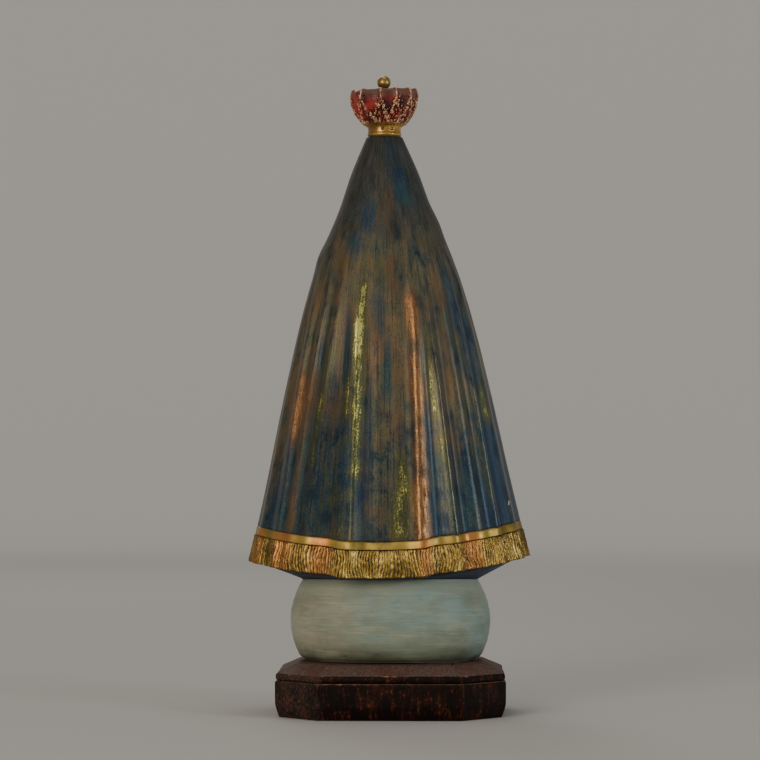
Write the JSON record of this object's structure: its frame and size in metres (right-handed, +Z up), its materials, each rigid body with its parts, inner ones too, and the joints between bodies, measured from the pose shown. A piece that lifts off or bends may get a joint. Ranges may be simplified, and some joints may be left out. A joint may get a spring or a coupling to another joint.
{
  "type": "virgin mary statue",
  "caption": "Standing robed figure in a long pleated mantle with a fringed hem, crowned, on a cloud and an eight-sided plinth.",
  "frame": {"origin": "middle of the outer box on the surface that the plinth stands on", "axes": "+Z up; the figure looks along -Y, so its back, the side in the picture, faces +Y; +X is the left side of the picture"},
  "size_m": [0.2635, 0.184, 0.6],
  "materials": {
    "stained_wood": "dark brown stain, worn, with orange-brown streaks and chipped edges",
    "painted_plaster": "satin paint: dark blue mantle dry-brushed with copper and gold, gold fringe, pale grey-green cloud",
    "crown_paint": "red paint with raised gold relief",
    "gold_paint": "old satin gold"
  },
  "bodies": {
    "root": {"plinth_block": "stained_wood", "plinth_cap": "stained_wood", "figure": "painted_plaster", "crown": "crown_paint", "crown_orb": "gold_paint"}
  },
  "joints": []
}
